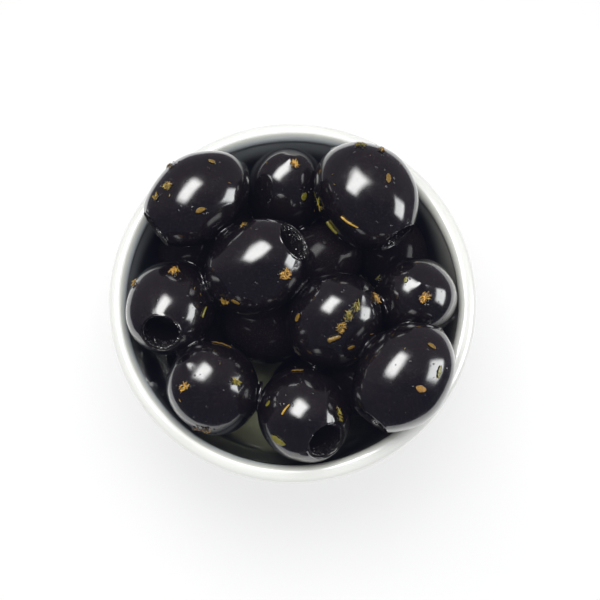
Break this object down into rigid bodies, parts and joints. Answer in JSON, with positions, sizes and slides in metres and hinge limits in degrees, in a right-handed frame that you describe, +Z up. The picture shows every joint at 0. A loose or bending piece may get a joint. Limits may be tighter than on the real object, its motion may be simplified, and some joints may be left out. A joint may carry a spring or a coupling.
{
  "type": "dish of black olives",
  "caption": "Small round white bowl on a foot ring, heaped above its rim with pitted black olives, with dried herbs on them and oil in the bottom.",
  "frame": {"origin": "middle of the foot ring, where the bowl stands", "axes": "+Z up, along the bowl's axis; -Y is the side nearest the eye in the picture, +X its right"},
  "size_m": [0.09, 0.09, 0.0602],
  "materials": {
    "glaze": "white glazed porcelain",
    "olive_skin": "oily black skin",
    "oil": "clear green oil"
  },
  "bodies": {
    "root": {"dish": "glaze", "olives": "olive_skin", "oil": "oil"}
  },
  "joints": []
}
